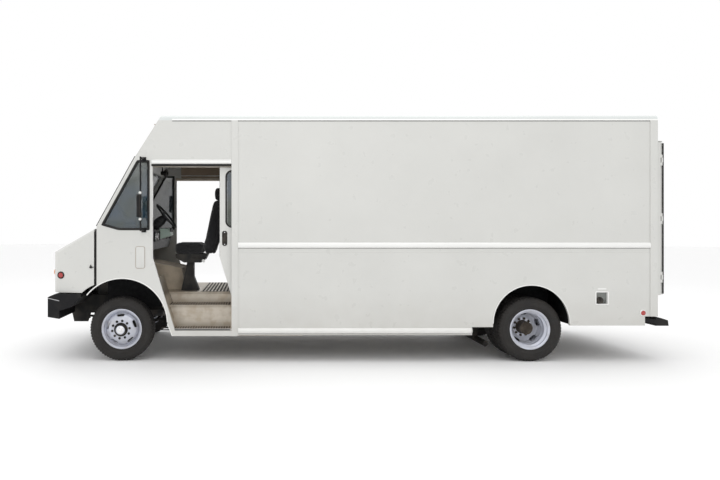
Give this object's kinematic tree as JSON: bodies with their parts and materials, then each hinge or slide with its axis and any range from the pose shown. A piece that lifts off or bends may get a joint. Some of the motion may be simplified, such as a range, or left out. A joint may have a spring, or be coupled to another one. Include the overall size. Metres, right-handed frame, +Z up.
{
  "type": "step van",
  "caption": "Walk-in delivery van with sliding cab doors, a long box body on a ladder frame, tilting nose, hinged rear doors, steered front wheels and twin rear wheels.",
  "frame": {"origin": "on the ground under the middle of the vehicle", "axes": "-X is the driving direction, -Y the driver's side, +Z up"},
  "size_m": [8.092, 3.0444, 3.217],
  "materials": {
    "chassis_black": "satin",
    "engine_grey": "rough",
    "exhaust_steel": "dull",
    "bumper_black": "satin",
    "body_white": "gloss",
    "roof_white": "gloss",
    "glass": "clear",
    "liner_black": "matte",
    "deck_aluminium": "brushed, ribbed",
    "engine_cover_tan": "satin",
    "cab_plastic": "grained",
    "seat_frame": "satin",
    "seat_fabric": "woven",
    "lamp_clear": "clear",
    "tyre": "matte",
    "rim_silver": "satin",
    "trim_white": "gloss",
    "lamp_red": "lens",
    "lamp_amber": "lens",
    "mirror_face": "polished",
    "rubber_seal": "matte",
    "bright_metal": "polished",
    "plate_blank": "satin",
    "wheel_cap_black": "satin"
  },
  "bodies": {
    "chassis": {"frame_rails": "chassis_black", "cross_members": "chassis_black", "front_axle": "chassis_black", "leaf_springs": "chassis_black", "rear_axle": "chassis_black", "fuel_tank": "chassis_black", "engine_block": "engine_grey", "driveline": "engine_grey", "radiator": "engine_grey", "exhaust": "exhaust_steel", "front_bumper": "bumper_black", "rear_bumper": "bumper_black", "mirrors": "bumper_black", "cab_sides": "body_white", "cab_front": "body_white", "body_sides": "body_white", "rear_frame": "body_white", "roof": "roof_white", "cab_glass": "glass", "front_wheelhouses": "liner_black", "rear_wheelhouses": "liner_black", "floor_deck": "deck_aluminium", "step_wells": "deck_aluminium", "door_tracks": "deck_aluminium", "engine_cover": "engine_cover_tan", "dashboard": "cab_plastic", "steering_column": "cab_plastic", "seat_pedestal": "seat_frame", "seat_cushion": "seat_fabric", "seat_backrest": "seat_fabric"},
    "nose": {"hood": "body_white", "grille": "bumper_black", "headlamps": "lamp_clear"},
    "side_door_left": {"sliding_door_left": "body_white", "door_glass_left": "glass"},
    "side_door_right": {"sliding_door_right": "body_white", "door_glass_right": "glass"},
    "back_door_left": {"rear_door_left": "body_white", "rear_glass_left": "glass"},
    "back_door_right": {"rear_door_right": "body_white", "rear_glass_right": "glass"},
    "steering": {"steering_wheel": "cab_plastic"},
    "stub_left": {"knuckle_left": "chassis_black"},
    "stub_right": {"knuckle_right": "chassis_black"},
    "track_rod": {"tie_rod": "chassis_black"},
    "front_wheel_left": {"front_tyre_left": "tyre", "front_rim_left": "rim_silver"},
    "front_wheel_right": {"front_tyre_right": "tyre", "front_rim_right": "rim_silver"},
    "rear_wheels_left": {"rear_tyres_left": "tyre", "rear_rims_left": "rim_silver"},
    "rear_wheels_right": {"rear_tyres_right": "tyre", "rear_rims_right": "rim_silver"}
  },
  "joints": [
    {"name": "steer_left", "type": "hinge", "parent": "chassis", "child": "stub_left", "pos_m": [-3.106, -0.86, 0.419], "axis": [0, 0, 1], "range_deg": [-35, 35]},
    {"name": "steer_right", "type": "hinge", "parent": "chassis", "child": "stub_right", "pos_m": [-3.106, 0.86, 0.419], "axis": [0, 0, 1], "range_deg": [-35, 35]},
    {"name": "steering_wheel_turn", "type": "hinge", "parent": "chassis", "child": "steering", "pos_m": [-2.621, -0.38, 1.922], "axis": [0.766, 0, 0.6428], "range_deg": [-560, 560]},
    {"name": "track_rod_slide", "type": "slide", "parent": "chassis", "child": "track_rod", "axis": [0, 1, 0], "range_m": [-0.11, 0.11]},
    {"name": "roll_front_left", "type": "hinge", "parent": "stub_left", "child": "front_wheel_left", "pos_m": [-3.106, -0.995, 0.419], "axis": [0, 1, 0], "continuous": true},
    {"name": "roll_front_right", "type": "hinge", "parent": "stub_right", "child": "front_wheel_right", "pos_m": [-3.106, 0.995, 0.419], "axis": [0, 1, 0], "continuous": true},
    {"name": "roll_rear_left", "type": "hinge", "parent": "chassis", "child": "rear_wheels_left", "pos_m": [2.254, -0.898, 0.419], "axis": [0, 1, 0], "continuous": true},
    {"name": "roll_rear_right", "type": "hinge", "parent": "chassis", "child": "rear_wheels_right", "pos_m": [2.254, 0.898, 0.419], "axis": [0, 1, 0], "continuous": true},
    {"name": "slide_door_left", "type": "slide", "parent": "chassis", "child": "side_door_left", "axis": [-1, 0, 0], "range_m": [0, 0.871]},
    {"name": "slide_door_right", "type": "slide", "parent": "chassis", "child": "side_door_right", "axis": [-1, 0, 0], "range_m": [0, 0.871]},
    {"name": "swing_back_left", "type": "hinge", "parent": "chassis", "child": "back_door_left", "pos_m": [3.967, -1.159, 1.8], "axis": [0, 0, -1], "range_deg": [0, 180]},
    {"name": "swing_back_right", "type": "hinge", "parent": "chassis", "child": "back_door_right", "pos_m": [3.967, 1.159, 1.8], "axis": [0, 0, 1], "range_deg": [0, 180]},
    {"name": "tilt_nose", "type": "hinge", "parent": "chassis", "child": "nose", "pos_m": [-3.984, 0, 0.915], "axis": [0, -1, 0], "range_deg": [0, 60]}
  ],
  "couplings": [
    {"joint": "steer_right", "follows": "steer_left", "ratio": 1},
    {"joint": "steering_wheel_turn", "follows": "steer_left", "ratio": 16},
    {"joint": "track_rod_slide", "follows": "steer_left", "m_per_rad": 0.178}
  ]
}
